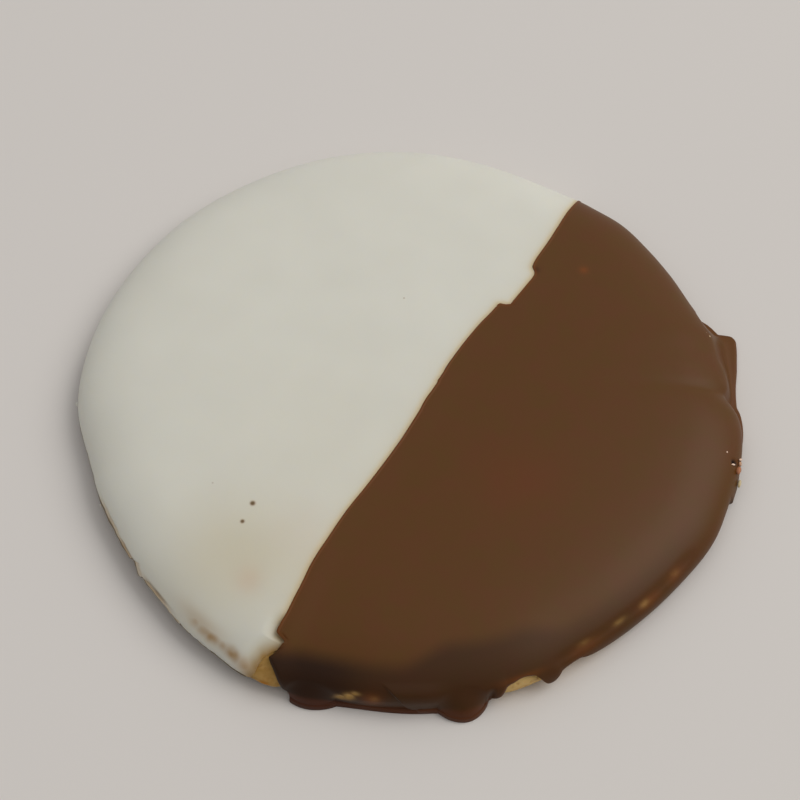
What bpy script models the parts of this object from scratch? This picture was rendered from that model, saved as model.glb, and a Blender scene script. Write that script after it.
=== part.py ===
# A black and white cookie: a flat round of soft cake, iced half white and half with chocolate.
# Metres, +Z up. It lies on its flat baked face, with the line between the icings along Y.
# Angles are degrees counter-clockwise from +X, which is the chocolate side.
import math

import bpy
import numpy as np

# The round of cake. Its section runs out over the dome and the shoulder, round the rim and under.
RIM_RADIUS = 0.0573
RIM_HEIGHT = 0.0028
DOME_RISE = 0.0020
SHOULDER_RISE = 0.0050
SHOULDER_POWER = 8
FOOT_INSET = 0.0035
# The rim is a little out of round: (angle, radius at its widest), read round the edge
RIM_OUTLINE = (
    (-165, 0.0582),
    (-150, 0.0577),
    (-138, 0.0561),
    (-123, 0.0551),
    (-107, 0.0563),
    (-90, 0.0576),
    (-66, 0.0582),
    (-42, 0.0583),
    (-20, 0.0568),
    (2, 0.0586),
    (20, 0.0594),
    (45, 0.0570),
    (67, 0.0567),
    (90, 0.0557),
    (120, 0.0578),
    (150, 0.0581),
)

# Icing
GAP = 0.0003
BARE_EDGE = 0.0003
ROUNDING = 0.0011
FLOOR_CLEARANCE = 0.0004
WHITE_THICKNESS = 0.0012
WHITE_RIM_THICKNESS = 0.0008
CHOCOLATE_THICKNESS = 0.0013
CHOCOLATE_RIM_THICKNESS = 0.0008
SHOULDER_WIDTH = 0.011
LIP_HEIGHT = 0.0003
LIP_WIDTH = 0.004

# The line between the icings: (distance along the surface from the middle, offset to the chocolate side)
PARTING = (
    (-0.0640, 0.0125),
    (-0.0585, 0.0095),
    (-0.0565, 0.0076),
    (-0.0543, 0.0057),
    (-0.0508, 0.0067),
    (-0.0495, 0.0050),
    (-0.0450, 0.0048),
    (-0.0390, 0.0043),
    (-0.0280, 0.0041),
    (-0.0190, 0.0043),
    (-0.0100, 0.0053),
    (0.0020, 0.0049),
    (0.0135, 0.0052),
    (0.0210, 0.0061),
    (0.0238, 0.0082),
    (0.0290, 0.0084),
    (0.0335, 0.0083),
    (0.0370, 0.0073),
    (0.0480, 0.0074),
    (0.0610, 0.0074),
)
# The last stretch of the white's own side, where it parts from the chocolate and bare cake shows
WHITE_FRONT = (
    (-0.0625, 0.0022),
    (-0.0600, 0.0036),
    (-0.0580, 0.0046),
    (-0.0555, 0.0048),
    (-0.0535, 0.0052),
    (-0.0508, 0.0061),
)
CHOCOLATE_ENDS = (-0.0612, 0.0600)
WHITE_ENDS = (-0.0606, 0.0597)

# Lower edge of each icing, as surface distance past the widest line of the cake: (angle, distance)
CHOCOLATE_EDGE = (
    (-90, 0.0018),
    (-60, 0.0018),
    (-50, 0.0014),
    (-45, -0.0006),
    (-42.5, -0.0016),
    (-40, -0.0014),
    (-37, 0.0006),
    (-31, 0.0004),
    (-25, 0.0010),
    (-10, 0.0018),
    (60, 0.0018),
    (90, 0.0010),
)
WHITE_EDGE = (
    (80, 0.0010),
    (150, 0.0014),
    (200, 0.0018),
    (212, 0.0020),
    (228, 0.0004),
    (240, 0.0002),
    (246, -0.0006),
    (252, 0.0004),
    (275, 0.0008),
)
# Drips that set on the tray: (angle, half width in degrees, how far each stands out)
DRIPS = (
    (-76.0, 5.2, 0.0024),
    (-51.2, 4.6, 0.0027),
    (-36.3, 2.9, 0.0006),
)
DRIP_HEIGHT = 0.0030
DRIP_BROW = 0.0009
DRIP_DROP = 0.0005
DRIP_BLUNTNESS = 0.7
# The tongue of chocolate that set flat on the tray, widest where it ends, and the heel beyond its end
TONGUE_START = 29.0
TONGUE_END = 44.6
TONGUE_CUT = 1.0
TONGUE_TAPER = 1.3
TONGUE_REACH = 0.0063
HEEL_END = 50.0
HEEL_REACH = 0.0022

# Middle of the object's outline, measured from the middle of the cake
OUTLINE_MIDDLE = (0.0, -0.0010)

# How finely each piece is divided
SECTION_SAMPLES = 400
UNDER_SAMPLES = 50
CAKE_STEPS = 72
CAKE_RUNS = (0.020, 0.036, 0.045, 0.0495, 0.0525, 0.0545, 0.0560, 0.0572, 0.0583, 0.0594, 0.0606, 0.0622)
# Shares of the way from the parting line to the lower edge
COLUMN_SHARES = (0, 0.008, 0.024, 0.07, 0.17, 0.34, 0.52, 0.68, 0.78, 0.85, 0.90, 0.935, 0.96, 0.98, 0.993, 1)
# (share of the way round the edge, row number): rows stand closer at the drips and the tongue
CHOCOLATE_ROWS = ((0.0, 0), (0.06, 6), (0.32, 28), (0.55, 36), (0.79, 56), (0.95, 63), (1.0, 67))
WHITE_ROWS = ((0.0, 0), (0.06, 4), (0.70, 28), (0.94, 42), (1.0, 48))
SHARP_ANGLE = 50

# Finishes
CRUMB_COLOUR = (0.40, 0.243, 0.061)
CRUMB_ROUGHNESS = 0.85
WHITE_COLOUR = (0.80, 0.77, 0.68)
WHITE_ROUGHNESS = 0.45
CHOCOLATE_COLOUR = (0.155, 0.078, 0.034)
CHOCOLATE_ROUGHNESS = 0.40


def clear_scene():
    for thing in list(bpy.data.objects):
        bpy.data.objects.remove(thing)


def smooth_step(value):
    value = np.clip(value, 0, 1)
    return value * value * (3 - 2 * value)


# Smooth curve through stops of (place, value); the slope at a stop comes from the stops either side
def curve_through(stops, place):
    places, values = np.array(stops, float).T
    slopes = np.gradient(values, places)
    index = np.clip(np.searchsorted(places, place) - 1, 0, len(places) - 2)
    span = places[index + 1] - places[index]
    part = np.clip((place - places[index]) / span, 0, 1)
    rise = values[index + 1] - values[index]
    bend_in = part * (1 - part) ** 2 * (slopes[index] * span)
    bend_out = part**2 * (part - 1) * (slopes[index + 1] * span)
    return values[index] + rise * smooth_step(part) + bend_in + bend_out


# Rounded bump that is 1 at its centre and 0 from its half width outwards
def swell(place, centre, half_width):
    return smooth_step(1 - np.abs(place - centre) / half_width)


# Section of the cake: surface distance from the crown, share of the rim's radius, and height
def cake_section():
    ease = 1 - np.linspace(0, 1, SECTION_SAMPLES)
    share = 1 - ease**2
    shoulder = np.sqrt(np.clip(1 - share**SHOULDER_POWER, 0, None))
    height = RIM_HEIGHT + DOME_RISE * (1 - share**2) + SHOULDER_RISE * shoulder
    turn = np.linspace(0, math.pi / 2, UNDER_SAMPLES)[1:]
    under_share = 1 - FOOT_INSET / RIM_RADIUS * (1 - np.cos(turn))
    share = np.concatenate([share, under_share])
    height = np.concatenate([height, RIM_HEIGHT * (1 - np.sin(turn))])
    lengths = np.hypot(np.diff(share) * RIM_RADIUS, np.diff(height))
    return np.concatenate([[0], np.cumsum(lengths)]), share, height


RUNS, SHARES, HEIGHTS = cake_section()
RIM_RUN = RUNS[SECTION_SAMPLES - 1]
FOOT_RUN = RUNS[-1]


def rim_radius(angle):
    start = RIM_OUTLINE[0][0]
    before = tuple((degrees - 360, radius) for degrees, radius in RIM_OUTLINE[-2:])
    after = tuple((degrees + 360, radius) for degrees, radius in RIM_OUTLINE[:2])
    turned = (np.degrees(angle) - start) % 360 + start
    return curve_through(before + RIM_OUTLINE + after, turned)


# Points of the cake's surface at an angle and a surface distance from the crown
def cake_surface(angle, run):
    radius = rim_radius(angle) * np.interp(run, RUNS, SHARES)
    height = np.interp(run, RUNS, HEIGHTS)
    return np.stack([radius * np.cos(angle), radius * np.sin(angle), height], -1)


def cake_normals(angle, run):
    turn = 0.01
    step = 0.0002
    around = cake_surface(angle + turn, run) - cake_surface(angle - turn, run)
    along = cake_surface(angle, run + step) - cake_surface(angle, run - step)
    normals = np.cross(along, around)
    return normals / np.linalg.norm(normals, axis=-1, keepdims=True)


# Outline of a drip from above: a round lobe, 1 at its centre and 0 from its half width outwards
def lobe(degrees, centre, half_width):
    return np.clip(1 - ((degrees - centre) / half_width) ** 2, 0, 1) ** DRIP_BLUNTNESS


# How far the chocolate stands out in its drips and in the tongue, at an angle
def overhang(angle):
    degrees = np.degrees(angle)
    reach = np.zeros_like(degrees)
    for centre, half_width, out in DRIPS:
        reach = np.maximum(reach, out * lobe(degrees, centre, half_width))
    along = np.clip((degrees - TONGUE_START) / (TONGUE_END - TONGUE_START), 0, 1)
    cut = smooth_step((TONGUE_END + TONGUE_CUT - degrees) / TONGUE_CUT)
    heel = np.clip((HEEL_END - degrees) / (HEEL_END - TONGUE_END), 0, 1) * (degrees > TONGUE_END)
    tongue = np.maximum(TONGUE_REACH * along**TONGUE_TAPER * cut, HEEL_REACH * heel)
    return np.maximum(reach, tongue)


def chocolate_edge(angle):
    degrees = np.degrees(angle)
    edge = curve_through(CHOCOLATE_EDGE, degrees)
    for centre, half_width, out in DRIPS:
        edge = edge + DRIP_DROP * lobe(degrees, centre, half_width)
    return RIM_RUN + edge


def white_edge(angle):
    return RIM_RUN + curve_through(WHITE_EDGE, np.degrees(angle))


def chocolate_parting(run):
    return curve_through(PARTING, run)


# The white keeps its gap square to the line, and near the front it leaves a wedge of bare cake
def white_parting(run):
    step = 0.0005
    slope = (curve_through(PARTING, run + step) - curve_through(PARTING, run - step)) / (2 * step)
    shared = curve_through(PARTING, run) - GAP * np.sqrt(1 + slope**2)
    front = curve_through(WHITE_FRONT, run)
    return np.where(run < WHITE_FRONT[-1][0], np.minimum(shared, front), shared)


# Grid of one icing over its half of the surface. Rows run from the parting line (first column)
# to the lower edge (last column); the first and last rows close up to the two tips.
def icing_grid(side, parting, edge, ends, row_stops):
    tips = [np.array([parting(end), end]) for end in ends]
    turns = [math.atan2(tip[1], tip[0]) for tip in tips]
    if side < 0:
        tips.reverse()
        turns = [turns[1], turns[0] + 2 * math.pi]
    shares, numbers = np.array(row_stops, float).T
    share = np.interp(np.arange(numbers[-1] + 1), numbers, shares)
    angle = turns[0] + (turns[1] - turns[0]) * share
    lift = (np.sin(angle) - math.sin(turns[0])) / (math.sin(turns[1]) - math.sin(turns[0]))
    inner_run = tips[0][1] + (tips[1][1] - tips[0][1]) * lift
    inner = np.stack([parting(inner_run), inner_run], -1)
    outer = edge(angle)[:, None] * np.stack([np.cos(angle), np.sin(angle)], -1)
    inner[0] = outer[0] = tips[0]
    inner[-1] = outer[-1] = tips[1]
    column = np.array(COLUMN_SHARES)[None, :, None]
    spots = inner[:, None] * (1 - column) + outer[:, None] * column
    length = np.linalg.norm(outer - inner, axis=-1)[:, None]
    near_parting = length * column[..., 0]
    near_edge = length * (1 - column[..., 0])
    return spots, near_parting, near_edge


# Turns flat spots (surface distance and direction) into angle and surface distance
def spot_angles(spots, side):
    angle = np.arctan2(spots[..., 1], spots[..., 0])
    if side < 0:
        angle = np.where(angle < 0, angle + 2 * math.pi, angle)
    return angle, np.linalg.norm(spots, axis=-1)


def rounded(distance):
    return np.sqrt(1 - (1 - np.clip(distance / ROUNDING, 0, 1)) ** 2)


# Moves points straight out from the middle
def pushed(points, angle, out):
    return points + np.stack([out * np.cos(angle), out * np.sin(angle), 0 * out], -1)


def icing_shell(side, grid, thickness, rim_thickness, lip):
    spots, near_parting, near_edge = grid
    angle, run = spot_angles(spots, side)
    middle = smooth_step((RIM_RUN - run) / SHOULDER_WIDTH)
    full = rim_thickness + (thickness - rim_thickness) * middle
    full = full + lip * swell(near_parting, 0, LIP_WIDTH)
    depth = BARE_EDGE + (full - BARE_EDGE) * rounded(np.minimum(near_parting, near_edge))
    base = cake_surface(angle, run)
    normals = cake_normals(angle, run)
    under = base + normals * GAP
    top = base + normals * (GAP + depth)[..., None]
    if side > 0:
        reach = overhang(angle)
        share = smooth_step((DRIP_HEIGHT - near_edge) / (DRIP_HEIGHT - DRIP_BROW))
        top = pushed(top, angle, reach * share)
        under = pushed(under, angle, reach * (near_edge == 0))
    top[..., 2] = np.maximum(top[..., 2], FLOOR_CLEARANCE)
    under[..., 2] = np.maximum(under[..., 2], FLOOR_CLEARANCE)
    return top, under


# Faces of a grid whose first and last rows have closed up to one point each
def grid_faces(rows, columns, first, turned):
    inside = np.arange(first + 1, first + 1 + (rows - 2) * columns).reshape(rows - 2, columns)
    last = first + 1 + (rows - 2) * columns
    quads = np.stack([inside[:-1, :-1], inside[:-1, 1:], inside[1:, 1:], inside[1:, :-1]], -1)
    faces = [list(map(int, quad)) for quad in quads.reshape(-1, 4)]
    for column in range(columns - 1):
        faces.append([first, int(inside[0, column + 1]), int(inside[0, column])])
        faces.append([last, int(inside[-1, column]), int(inside[-1, column + 1])])
    loop = [first, *map(int, inside[:, -1]), last, *map(int, inside[::-1, 0])]
    return [face[::-1] for face in faces] if turned else faces, loop


def shell_mesh(name, top, under):
    rows, columns = top.shape[:2]
    points = []
    for layer in (top, under):
        points.append(layer[0, 0][None])
        points.append(layer[1:-1].reshape(-1, 3))
        points.append(layer[-1, 0][None])
    count = 2 + (rows - 2) * columns
    top_faces, top_loop = grid_faces(rows, columns, 0, False)
    under_faces, under_loop = grid_faces(rows, columns, count, True)
    walls = []
    for i in range(len(top_loop)):
        j = (i + 1) % len(top_loop)
        walls.append([top_loop[j], top_loop[i], under_loop[i], under_loop[j]])
    return mesh_from(name, np.concatenate(points), top_faces + under_faces + walls)


def mesh_from(name, points, faces):
    mesh = bpy.data.meshes.new(name)
    placed = np.array(points) - np.array([OUTLINE_MIDDLE[0], OUTLINE_MIDDLE[1], 0])
    mesh.from_pydata(placed.tolist(), [], faces)
    mesh.update()
    return mesh


def cake_mesh():
    angles = np.arange(CAKE_STEPS) * 2 * math.pi / CAKE_STEPS
    runs = np.array(CAKE_RUNS + (FOOT_RUN,))
    turn, run = np.meshgrid(angles, runs)
    rings = cake_surface(turn, run).reshape(-1, 3)
    crown = [0, 0, HEIGHTS[0]]
    foot = [0, 0, 0]
    faces = []
    last = (len(runs) - 1) * CAKE_STEPS
    for i in range(CAKE_STEPS):
        j = (i + 1) % CAKE_STEPS
        for ring in range(len(runs) - 1):
            start = ring * CAKE_STEPS
            faces.append([start + i, start + CAKE_STEPS + i, start + CAKE_STEPS + j, start + j])
        faces.append([len(rings), i, j])
        faces.append([len(rings) + 1, last + j, last + i])
    return mesh_from("cake_base", np.concatenate([rings, [crown, foot]]), faces)


def finish(name, colour, roughness):
    material = bpy.data.materials.new(name)
    material.use_nodes = True
    shader = material.node_tree.nodes["Principled BSDF"]
    shader.inputs["Base Color"].default_value = (*colour, 1)
    shader.inputs["Roughness"].default_value = roughness
    shader.inputs["Metallic"].default_value = 0
    return material


def add_piece(mesh, material):
    piece = bpy.data.objects.new(mesh.name, mesh)
    mesh.materials.append(material)
    mesh.shade_smooth()
    mesh.set_sharp_from_angle(angle=math.radians(SHARP_ANGLE))
    bpy.context.scene.collection.objects.link(piece)
    return piece


def add_cake():
    return add_piece(cake_mesh(), finish("cake_crumb", CRUMB_COLOUR, CRUMB_ROUGHNESS))


def add_white_icing():
    grid = icing_grid(-1, white_parting, white_edge, WHITE_ENDS, WHITE_ROWS)
    top, under = icing_shell(-1, grid, WHITE_THICKNESS, WHITE_RIM_THICKNESS, 0)
    mesh = shell_mesh("white_icing", top, under)
    return add_piece(mesh, finish("white_fondant", WHITE_COLOUR, WHITE_ROUGHNESS))


def add_chocolate_icing():
    grid = icing_grid(1, chocolate_parting, chocolate_edge, CHOCOLATE_ENDS, CHOCOLATE_ROWS)
    top, under = icing_shell(1, grid, CHOCOLATE_THICKNESS, CHOCOLATE_RIM_THICKNESS, LIP_HEIGHT)
    mesh = shell_mesh("chocolate_icing", top, under)
    return add_piece(mesh, finish("chocolate_fondant", CHOCOLATE_COLOUR, CHOCOLATE_ROUGHNESS))


clear_scene()
add_cake()
add_white_icing()
add_chocolate_icing()
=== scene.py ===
# Black and white cookie: a thin round of soft cake, iced half white and half with chocolate.
# Metres, +Z up. The chocolate is on the +X side and the line between the icings runs along Y.
import math
from itertools import product

import bpy
import numpy as np
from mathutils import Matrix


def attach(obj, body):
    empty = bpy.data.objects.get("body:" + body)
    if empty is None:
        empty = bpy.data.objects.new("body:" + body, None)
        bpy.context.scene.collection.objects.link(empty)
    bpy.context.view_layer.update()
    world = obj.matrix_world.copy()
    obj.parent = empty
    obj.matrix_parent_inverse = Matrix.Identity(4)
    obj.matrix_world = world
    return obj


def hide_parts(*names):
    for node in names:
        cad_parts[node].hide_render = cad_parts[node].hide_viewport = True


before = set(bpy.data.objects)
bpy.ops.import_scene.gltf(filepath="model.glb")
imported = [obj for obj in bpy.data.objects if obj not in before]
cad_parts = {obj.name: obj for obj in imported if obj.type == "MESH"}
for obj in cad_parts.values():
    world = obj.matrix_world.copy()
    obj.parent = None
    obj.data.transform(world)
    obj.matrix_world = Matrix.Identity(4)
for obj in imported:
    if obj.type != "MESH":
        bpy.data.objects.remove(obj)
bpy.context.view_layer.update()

print("frame loaded")

# Form of the round of cake: the solids' own, with a finer outline and the small notches of the edges
form = {
    "rimRadius": 0.0573,
    "rimHeight": 0.0028,
    "domeRise": 0.0020,
    "shoulderRise": 0.0050,
    "shoulderPower": 8,
    "footInset": 0.0035,
    # a little out of round, and dented above the tongue: (degrees, radius at the widest)
    "outline": (
        (-165, 0.0584), (-150, 0.0578), (-138, 0.0561), (-130, 0.0560), (-123, 0.0557), (-115, 0.0559),
        (-107, 0.0563), (-98, 0.0573), (-90, 0.0580), (-86, 0.0590), (-82, 0.0588), (-79.5, 0.0579),
        (-76, 0.0575), (-66, 0.0575), (-54, 0.0576), (-47, 0.0581), (-42, 0.0583), (-30, 0.0573),
        (-20, 0.0572), (-8, 0.0578), (2, 0.0588), (9, 0.0588), (20, 0.0593), (24, 0.0591), (26.4, 0.0586),
        (28, 0.0579), (28.9, 0.0574), (29.8, 0.0570), (32.5, 0.0576), (35, 0.0578), (39, 0.0577),
        (44, 0.0579), (46.5, 0.0573), (50, 0.0567), (60, 0.0567), (67, 0.0570), (74, 0.0574), (80, 0.0569),
        (90, 0.0563), (105, 0.0572), (120, 0.0584), (135, 0.0588), (150, 0.0587), (165, 0.0588),
        (178, 0.0585),
    ),
    "middle": (0.0, -0.0010),  # middle of the outline from the middle of the cake
    # line between the icings: (way along it from the middle, offset to the chocolate side)
    "parting": (
        (-0.0640, 0.0130), (-0.0592, 0.0098), (-0.0576, 0.0087), (-0.0560, 0.0074), (-0.0549, 0.0062),
        (-0.0543, 0.0057), (-0.0537, 0.0060), (-0.0530, 0.0063), (-0.0518, 0.0067), (-0.05115, 0.0067),
        (-0.0508, 0.0059), (-0.0505, 0.0052), (-0.0500, 0.00495), (-0.0492, 0.0049), (-0.0470, 0.00487),
        (-0.0445, 0.00465), (-0.0415, 0.0044), (-0.0380, 0.0040), (-0.0325, 0.0040), (-0.0275, 0.0041),
        (-0.0222, 0.0047), (-0.0108, 0.0053), (0.0012, 0.0049), (0.0136, 0.0051), (0.0177, 0.0055),
        (0.0207, 0.0060), (0.0222, 0.0062), (0.02325, 0.00655), (0.02355, 0.0072), (0.0238, 0.0079),
        (0.0242, 0.00813), (0.0250, 0.0082), (0.0279, 0.00847), (0.0300, 0.00862), (0.0316, 0.00873),
        (0.0326, 0.0086), (0.0331, 0.0083), (0.0335, 0.0079), (0.0339, 0.0076), (0.0345, 0.00745),
        (0.0360, 0.0073), (0.0385, 0.0073), (0.0407, 0.0073), (0.0456, 0.0071), (0.0510, 0.00675),
        (0.0548, 0.0066), (0.0589, 0.0062), (0.0620, 0.0060),
    ),
    "partingPieces": 480,  # straight pieces that distances to the line are measured from
}


# 0 to 1 with level ends: 3t^2 - 2t^3
def smoothStep(value):
    value = np.clip(value, 0, 1)
    return value * value * (3 - 2 * value)


# Smooth curve through stops of (place, value), sloped at each stop by its neighbours
def curveThrough(stops, place):
    places, values = np.array(stops, float).T
    slopes = np.gradient(values, places)
    index = np.clip(np.searchsorted(places, place) - 1, 0, len(places) - 2)
    span = places[index + 1] - places[index]
    part = np.clip((place - places[index]) / span, 0, 1)
    rise = values[index + 1] - values[index]
    bendIn = part * (1 - part) ** 2 * (slopes[index] * span)
    bendOut = part**2 * (part - 1) * (slopes[index + 1] * span)
    return values[index] + rise * smoothStep(part) + bendIn + bendOut


# Random number from 0 to 1 for each whole-number corner of space, mixed from its three counts
def cornerChance(corner, seed):
    mixed = corner[..., 0] * 374761393 + corner[..., 1] * 668265263 + corner[..., 2] * 1440662683
    mixed = (mixed + seed * 974634777) & 0x7FFFFFFF
    mixed = ((mixed ^ (mixed >> 13)) * 1274126177) & 0x7FFFFFFF
    mixed = ((mixed ^ (mixed >> 15)) * 805459861) & 0x7FFFFFFF
    return ((mixed ^ (mixed >> 12)) & 0xFFFFF) / 0xFFFFF


# Soft random swell from -1 to 1: corner numbers blended through each cell by smooth steps
def swells(points, cell, seed):
    place = points / cell
    corner = np.floor(place).astype(np.int64)
    part = smoothStep(place - corner)
    total = 0
    for step in product((0, 1), repeat=3):
        share = np.prod(np.where(step, part, 1 - part), axis=-1)
        total = total + share * cornerChance(corner + np.array(step), seed)
    return 2 * total - 1


# Distance, in cells, to the nearest of a set of scattered points, one to a cell
def poreDistance(points, cell, seed):
    place = points / cell
    corner = np.floor(place).astype(np.int64)
    nearest = np.full(place.shape[:-1], 9.0)
    for step in product((-1, 0, 1), repeat=3):
        around = corner + np.array(step)
        jitter = np.stack([cornerChance(around, seed + axis) for axis in range(3)], -1)
        nearest = np.minimum(nearest, np.linalg.norm(around + jitter - place, axis=-1))
    return nearest


# Section as three lists: way along the surface from the crown, share of the rim's radius, height.
# The top is a flat parabola plus a steep-sided power curve, the rim is a quarter ellipse, and the
# baked face runs flat to the middle.
def cakeSection():
    ease = 1 - np.linspace(0, 1, 400)
    share = 1 - ease**2
    shoulder = np.sqrt(np.clip(1 - share ** form["shoulderPower"], 0, None))
    height = form["rimHeight"] + form["domeRise"] * (1 - share**2) + form["shoulderRise"] * shoulder
    rimCount = len(share)
    turn = np.linspace(0, math.pi / 2, 50)[1:]
    underShare = 1 - form["footInset"] / form["rimRadius"] * (1 - np.cos(turn))
    face = np.linspace(underShare[-1], 0, 200)[1:]
    share = np.concatenate([share, underShare, face])
    height = np.concatenate([height, form["rimHeight"] * (1 - np.sin(turn)), 0 * face])
    lengths = np.hypot(np.diff(share) * form["rimRadius"], np.diff(height))
    run = np.concatenate([[0], np.cumsum(lengths)])
    return run, share, height, run[rimCount - 1], run[rimCount - 1 + len(turn)]


sectionRun, sectionShare, sectionHeight, rimRun, footRun = cakeSection()


def rimRadius(angle):
    start = form["outline"][0][0]
    before = tuple((degrees - 360, radius) for degrees, radius in form["outline"][-2:])
    after = tuple((degrees + 360, radius) for degrees, radius in form["outline"][:2])
    turned = (np.degrees(angle) - start) % 360 + start
    return curveThrough(before + form["outline"] + after, turned)


# Cake's surface: the section's share of the outline's radius at that angle, at the section's height
def cakeSurface(angle, run):
    radius = rimRadius(angle) * np.interp(run, sectionRun, sectionShare)
    height = np.interp(run, sectionRun, sectionHeight)
    return np.stack([radius * np.cos(angle), radius * np.sin(angle), height], -1)


# Normals from the cross product of short steps along the section and round it
def cakeNormals(angle, run):
    around = cakeSurface(angle + 0.01, run) - cakeSurface(angle - 0.01, run)
    along = cakeSurface(angle, run + 0.0002) - cakeSurface(angle, run - 0.0002)
    normals = np.cross(along, around)
    return normals / np.maximum(np.linalg.norm(normals, axis=-1, keepdims=True), 1e-12)


# Degrees from a place on the rim, the short way round
def turnFrom(angle, degrees):
    return (np.degrees(angle) - degrees + 180) % 360 - 180


# Soft spot of 1 at a place given as (degrees, way past the rim line), fading out like a bell
def rimSpot(angle, run, spot):
    degrees, past, wide, tall = spot
    across = turnFrom(angle, degrees) / wide
    along = (run - rimRun - past) / tall
    return np.exp(-(across**2) - along**2)


# Soft spot of 1 at flat coordinates (to the chocolate side, away from the front)
def flatSpot(spots, spot):
    x, y, radius = spot
    return np.exp(-(((spots[..., 0] - x) ** 2 + (spots[..., 1] - y) ** 2) / radius**2))


# Flat spots of the given strengths, added up
def flatTint(spots, tints):
    return sum(strength * flatSpot(spots, spot) for *spot, strength in tints)


# Place near the rim at an angle, where the random swells of the edges are read
def rimPlace(angle):
    return 0.058 * np.stack([np.cos(angle), np.sin(angle), 0 * angle], -1)


# 1 between two angles, with ramps outside them
def between(angle, low, high, ramp):
    middle = (low + high) / 2
    return smoothStep((((high - low) / 2 + ramp) - np.abs(turnFrom(angle, middle))) / ramp)


# Closed skins in one mesh. Each skin has rings of points that wrap round, with four-sided faces
# between neighbouring rings, and a fan to a point at each end. Marks are numbers on the points.
def skinMesh(name, skins, material):
    allPoints, allCorners, allSizes, start = [], [], [], 0
    layers = {key: [] for key in skins[0][2]}
    for rings, poles, marks in skins:
        count, around = rings.shape[:2]
        points = np.concatenate([rings.reshape(-1, 3), poles])
        points = points - np.array([form["middle"][0], form["middle"][1], 0])
        here = np.arange(count * around).reshape(count, around)
        over = np.roll(here, -1, axis=1)
        quads = np.stack([here[:-1], over[:-1], over[1:], here[1:]], -1).reshape(-1, 4)
        firstPole = np.full(around, count * around)
        firstFan = np.stack([firstPole, over[0], here[0]], -1)
        lastFan = np.stack([firstPole + 1, here[-1], over[-1]], -1)
        fans = np.concatenate([firstFan, lastFan])
        a, b, c, d = (points[quads[:, i]] for i in range(4))
        volume = np.einsum("ij,ij->", a, np.cross(b, c)) + np.einsum("ij,ij->", a, np.cross(c, d))
        if volume < 0:
            quads = quads[:, ::-1]
            fans = fans[:, ::-1]
        allPoints.append(points)
        allCorners.append(np.concatenate([quads.ravel(), fans.ravel()]) + start)
        allSizes.append(np.concatenate([np.full(len(quads), 4), np.full(len(fans), 3)]))
        start += len(points)
        for key, values in marks.items():
            values = np.broadcast_to(values, (count, around))
            layers[key].append(np.concatenate([values.ravel(), [values[0].mean(), values[-1].mean()]]))
    points = np.concatenate(allPoints)
    corners = np.concatenate(allCorners).astype(np.int32)
    sizes = np.concatenate(allSizes)
    mesh = bpy.data.meshes.new(name)
    mesh.vertices.add(len(points))
    mesh.vertices.foreach_set("co", points.astype(np.float32).ravel())
    mesh.loops.add(len(corners))
    mesh.loops.foreach_set("vertex_index", corners)
    mesh.polygons.add(len(sizes))
    mesh.polygons.foreach_set("loop_start", (np.cumsum(sizes) - sizes).astype(np.int32))
    mesh.update(calc_edges=True)
    mesh.validate()
    mesh.shade_smooth()
    for key, values in layers.items():
        layer = mesh.attributes.new(key, "FLOAT", "POINT")
        layer.data.foreach_set("value", np.concatenate(values).astype(np.float32))
    mesh.materials.append(material)
    piece = bpy.data.objects.new(name, mesh)
    bpy.context.scene.collection.objects.link(piece)
    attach(piece, "root")
    return piece


# Normals of a grid of points: the cross product of its steps each way, facing as the given ones do
def gridNormals(points, like):
    normals = np.cross(np.gradient(points, axis=0), np.gradient(points, axis=1))
    normals = normals / np.maximum(np.linalg.norm(normals, axis=-1, keepdims=True), 1e-12)
    return normals * np.sign(np.einsum("ijk,ijk->", normals, like))


def linear(hexColour):
    parts = [int(hexColour[i : i + 2], 16) / 255 for i in (1, 3, 5)]
    parts = [part / 12.92 if part <= 0.04045 else ((part + 0.055) / 1.055) ** 2.4 for part in parts]
    return (*parts, 1)


# Adds one node, with its settings and the sockets that feed it
def addNode(tree, kind, settings=None, links=None):
    node = tree.nodes.new(kind)
    for key, value in (settings or {}).items():
        if isinstance(key, int) or key in node.inputs:
            node.inputs[key].default_value = value
        else:
            setattr(node, key, value)
    for key, source in (links or {}).items():
        tree.links.new(source, node.inputs[key])
    return node


def newMaterial(name, settings):
    material = bpy.data.materials.new(name)
    material.use_nodes = True
    tree = material.node_tree
    tree.nodes.clear()
    shader = addNode(tree, "ShaderNodeBsdfPrincipled", settings)
    addNode(tree, "ShaderNodeOutputMaterial", {}, {"Surface": shader.outputs[0]})
    return material, tree, shader


# Blends a colour over what is below it, by a mark on the surface
def laidOver(tree, below, hexColour, mark):
    layer = addNode(tree, "ShaderNodeAttribute", {"attribute_name": mark})
    links = {0: layer.outputs["Fac"], 6: below}
    return addNode(tree, "ShaderNodeMix", {"data_type": "RGBA", 7: linear(hexColour)}, links).outputs[2]


# Colour that drifts between two tones with a soft noise of the given size in millimetres
def drifting(tree, place, lowHex, highHex, sizeMm, detail):
    noise = addNode(tree, "ShaderNodeTexNoise", {"Scale": 1000 / sizeMm, "Detail": detail}, {"Vector": place})
    spread = {"From Min": 0.3, "From Max": 0.7}
    ramp = addNode(tree, "ShaderNodeMapRange", spread, {"Value": noise.outputs["Fac"]})
    tones = {"data_type": "RGBA", 6: linear(lowHex), 7: linear(highHex)}
    return addNode(tree, "ShaderNodeMix", tones, {0: ramp.outputs[0]}).outputs[2]


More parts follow.
